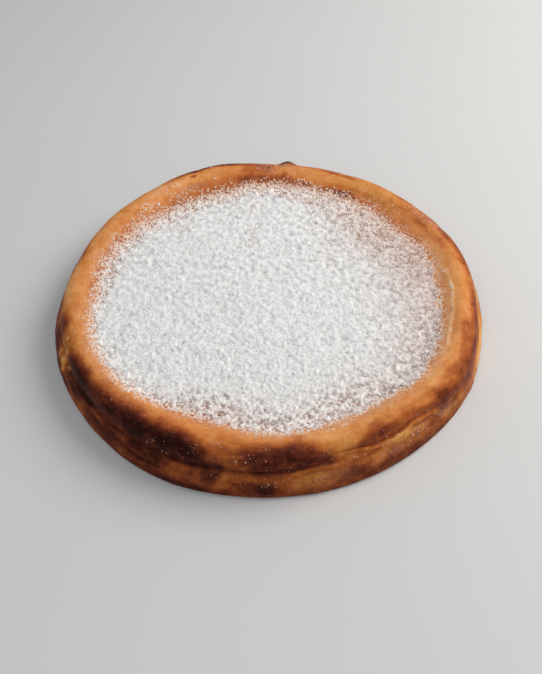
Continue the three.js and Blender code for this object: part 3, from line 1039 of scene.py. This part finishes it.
def makeSugarMaterial(powder):
    material, tree, shader = newMaterial("icing sugar")
    finish = sugarFinish
    tone = addField(tree, "tone", (-1200, 250))
    spotted = addField(tree, "speckle", (-1200, -250))
    thick = addField(tree, "thick", (-600, -150))
    speckle = addNode(tree, "ShaderNodeGroup", (-1200, 0), {"node_tree": powder},
                      {"Grains Per Metre": finish["grainsPerMetre"]})
    grain = addNode(tree, "ShaderNodeMapRange", (-1000, 0), {"clamp": False},
                    {"To Min": -finish["grainTone"] / 2, "To Max": finish["grainTone"] / 2})
    shown = addNode(tree, "ShaderNodeMath", (-800, 150), {"operation": "MULTIPLY_ADD", "use_clamp": True})
    deep = addRamp(tree, finish["deep"], (-600, 350))
    thin = addRamp(tree, finish["thin"], (-600, 100))
    film = addRamp(tree, finish["film"], (-600, -400))
    thinShare = addNode(tree, "ShaderNodeMapRange", (-400, -350), sockets=finish["thinStart"])
    deepShare = addNode(tree, "ShaderNodeMapRange", (-400, -150), sockets=finish["deepStart"])
    lightly = addColourMix(tree, (-300, 50))
    shade = addColourMix(tree, (-150, 200))
    bump = addBump(tree, *finish["grainBump"], (-300, -200))
    shader.inputs["Roughness"].default_value = finish["roughness"]
    joinNodes(tree, (
        (speckle, "Height", grain, "Value"),
        (grain, "Result", shown, 0),
        (spotted, "Fac", shown, 1),
        (tone, "Fac", shown, 2),
        (shown, 0, deep, "Fac"),
        (shown, 0, thin, "Fac"),
        (shown, 0, film, "Fac"),
        (thick, "Fac", thinShare, "Value"),
        (thick, "Fac", deepShare, "Value"),
        (thinShare, "Result", lightly, mixShare),
        (film, "Color", lightly, mixFirst),
        (thin, "Color", lightly, mixSecond),
        (deepShare, "Result", shade, mixShare),
        (lightly, mixResult, shade, mixFirst),
        (deep, "Color", shade, mixSecond),
        (shade, mixResult, shader, "Base Color"),
        (speckle, "Height", bump, "Height"),
        (bump, "Normal", shader, "Normal"),
    ))
    return material


powder = powderGroup()
crustMaterial = makeCrustMaterial(powder)
sugarMaterial = makeSugarMaterial(powder)
print("materials:", crustMaterial.name, "and", sugarMaterial.name)

skin = crustSkin()
skin["toast"] = toastOf(skin)
skin["gold"] = goldOf(skin)
skin["dust"] = dustAndSheenOf(skin)
makeCrust(skin, crustMaterial)
print("crust:", skin["rise"].size, "points")
laid = makeCoat(sugarMaterial)
print("sugar coat:", len(laid["points"]), "points")
makeLooseGrains(laid, sugarMaterial)
makeRimGrains(skin, sugarMaterial)
makeClumps(laid, sugarMaterial)
print("loose sugar made")

floor = {
    "side": 6.0,
    "colour": paint(222, 221, 219),
    "shade": paint(214, 213, 211),
    "clouds": {"Scale": 3, "Detail": 3.0},
    "roughness": 0.7,
}


def makeFloor():
    material, tree, shader = newMaterial("pale floor")
    coords = addNode(tree, "ShaderNodeTexCoord", (-800, 0))
    clouds = addNode(tree, "ShaderNodeTexNoise", (-600, 0), sockets=floor["clouds"])
    colour = addColourMix(tree, (-300, 0))
    colour.inputs[mixFirst].default_value = floor["colour"]
    colour.inputs[mixSecond].default_value = floor["shade"]
    shader.inputs["Roughness"].default_value = floor["roughness"]
    joinNodes(tree, (
        (coords, "Object", clouds, "Vector"),
        (clouds, "Fac", colour, mixShare),
        (colour, mixResult, shader, "Base Color"),
    ))
    half = floor["side"] / 2
    corners = [(-half, -half, 0), (half, -half, 0), (half, half, 0), (-half, half, 0)]
    mesh = bpy.data.meshes.new("floor")
    mesh.from_pydata(corners, [], [(0, 1, 2, 3)])
    mesh.materials.append(material)
    piece = bpy.data.objects.new("floor", mesh)
    bpy.context.scene.collection.objects.link(piece)


# soft studio light: azimuth and height of each panel, distance and side in metres, power in watts
studio = {
    "key": {"azimuth": 18, "height": 41, "away": 1.3, "side": 0.9, "power": 13.0, "colour": (1, 0.97, 0.93)},
    "fill": {"azimuth": 250, "height": 50, "away": 1.6, "side": 1.4, "power": 3.8, "colour": (0.93, 0.96, 1)},
    "sky": (0.9, 0.95, 1.0, 1),
    "skyStrength": 0.36,
}


def addPanel(name):
    light = studio[name]
    panel = bpy.data.lights.new(name, "AREA")
    panel.shape = "DISK"
    panel.size = light["side"]
    panel.energy = light["power"]
    panel.color = light["colour"]
    piece = bpy.data.objects.new(name, panel)
    turn, tilt = math.radians(light["azimuth"]), math.radians(light["height"])
    toLight = Vector((math.cos(turn) * math.cos(tilt), math.sin(turn) * math.cos(tilt), math.sin(tilt)))
    piece.location = toLight * light["away"]
    piece.rotation_mode = "QUATERNION"
    piece.rotation_quaternion = toLight.to_track_quat("Z", "Y")
    bpy.context.scene.collection.objects.link(piece)


def lightStudio():
    for name in ("key", "fill"):
        addPanel(name)
    world = bpy.data.worlds.new("studio")
    world.use_nodes = True
    sky = world.node_tree.nodes["Background"]
    sky.inputs["Color"].default_value = studio["sky"]
    sky.inputs["Strength"].default_value = studio["skyStrength"]
    bpy.context.scene.world = world
    bpy.context.scene.view_settings.view_transform = "Standard"


camera = {
    "aim": (1.2, -24.0, 3.0),  # mm, a point near the front of the base
    "away": 428.5,
    "lookDown": 49.27,
    "roll": -1.99,
    "focal": 710,  # in pixels of a frame this tall
    "frameTall": 674,
    "sensor": 36,
}


def aimCamera():
    down, roll = math.radians(camera["lookDown"]), math.radians(camera["roll"])
    ahead = Vector((0, math.cos(down), -math.sin(down)))
    level = Vector((1, 0, 0))
    upright = level.cross(ahead)
    right = level * math.cos(roll) + upright * math.sin(roll)
    up = upright * math.cos(roll) - level * math.sin(roll)
    place = (Vector(camera["aim"]) - ahead * camera["away"]) * mm
    lens = bpy.data.cameras.new("camera")
    lens.sensor_width = camera["sensor"]
    lens.lens = camera["sensor"] * camera["focal"] / camera["frameTall"]
    piece = bpy.data.objects.new("camera", lens)
    turned = Matrix((right, up, -ahead)).transposed().to_4x4()
    piece.matrix_world = Matrix.Translation(place) @ turned
    bpy.context.scene.collection.objects.link(piece)
    bpy.context.scene.camera = piece


makeFloor()
lightStudio()
aimCamera()
print("floor, light and camera set")

bpy.context.view_layer.update()
